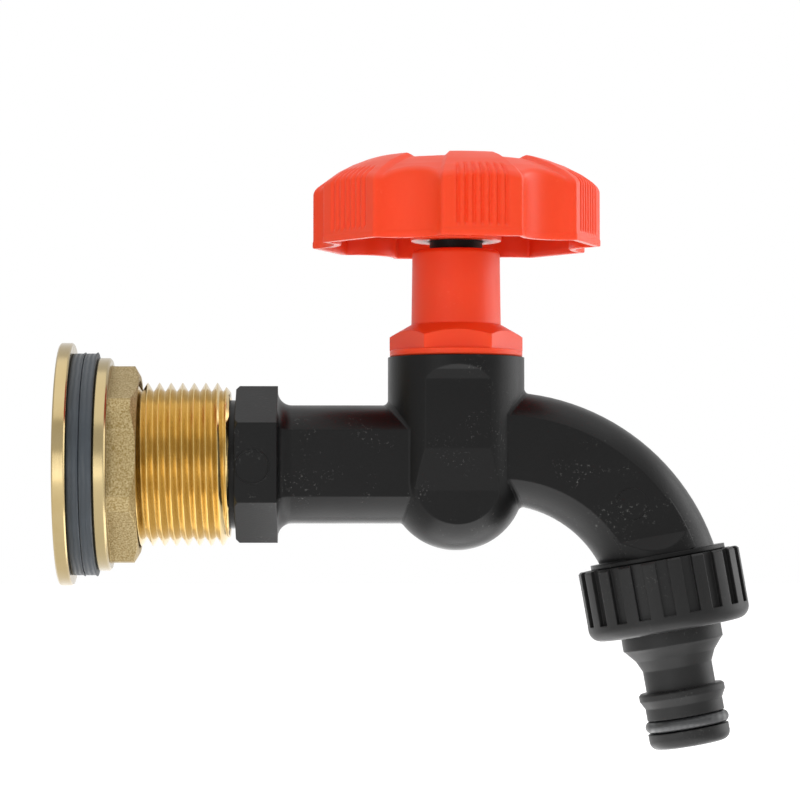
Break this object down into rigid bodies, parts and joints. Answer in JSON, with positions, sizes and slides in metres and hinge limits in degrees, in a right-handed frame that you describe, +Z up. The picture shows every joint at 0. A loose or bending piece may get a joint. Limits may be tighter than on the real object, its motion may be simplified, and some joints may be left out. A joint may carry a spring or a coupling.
{
  "type": "water butt tap",
  "caption": "Moulded screw-down garden tap on a brass tank connector with rubber washers and back nut, with a lobed hand wheel, curved spout and screw-on hose adaptor.",
  "frame": {"origin": "on the inlet pipe's axis, in the plane of the back nut's outer face, where the free part of the tank thread starts", "axes": "+X along the inlet axis from the water butt towards the tap, +Z up along the valve spindle, Y across"},
  "size_m": [0.1371, 0.0574, 0.118],
  "materials": {
    "brass": "turned and forged, lightly sanded",
    "rubber": "matt grey-black",
    "black_plastic": "satin moulded",
    "red_plastic": "satin moulded",
    "white_plastic": "natural moulded",
    "steel": "zinc plated"
  },
  "bodies": {
    "tap": {"tank_connector": "brass", "tank_washer_inner": "rubber", "inlet_washer": "rubber", "tap_body": "black_plastic", "bonnet": "red_plastic", "bonnet_seal": "rubber"},
    "valve": {"jumper": "white_plastic", "valve_washer": "rubber", "washer_screw": "steel"},
    "wheel": {"spindle": "black_plastic", "spindle_o_ring_lower": "rubber", "spindle_o_ring_upper": "rubber", "hand_wheel": "red_plastic", "wheel_washer": "steel", "wheel_screw": "steel"},
    "outer_washer": {"tank_washer_outer": "rubber"},
    "nut": {"back_nut": "brass"},
    "adaptor_seal": {"adaptor_washer": "rubber"},
    "adaptor": {"hose_adaptor": "black_plastic", "nozzle_o_ring": "rubber"}
  },
  "joints": [
    {"name": "valve_lift", "type": "slide", "parent": "tap", "child": "valve", "axis": [0, 0, 1], "range_m": [0, 0.006]},
    {"name": "wheel_turn", "type": "hinge", "parent": "valve", "child": "wheel", "pos_m": [0.063, 0, 0.05], "axis": [0, 0, 1], "range_deg": [0, 900.1]},
    {"name": "outer_washer_slide", "type": "slide", "parent": "tap", "child": "outer_washer", "axis": [1, 0, 0], "range_m": [0, 0.01154]},
    {"name": "nut_turn", "type": "hinge", "parent": "outer_washer", "child": "nut", "pos_m": [0, 0, 0], "axis": [1, 0, 0], "range_deg": [0, 1800.1]},
    {"name": "adaptor_travel", "type": "slide", "parent": "tap", "child": "adaptor_seal", "axis": [0.1736, 0, -0.9848], "range_m": [0, 0.00726]},
    {"name": "adaptor_turn", "type": "hinge", "parent": "adaptor_seal", "child": "adaptor", "pos_m": [0.10314, 0, -0.01794], "axis": [0.1736, 0, -0.9848], "range_deg": [0, 1440.1]}
  ],
  "couplings": [
    {"joint": "wheel_turn", "follows": "valve_lift", "rad_per_m": 2618},
    {"joint": "nut_turn", "follows": "outer_washer_slide", "rad_per_m": 2721.2},
    {"joint": "adaptor_turn", "follows": "adaptor_travel", "rad_per_m": 3463.7}
  ]
}
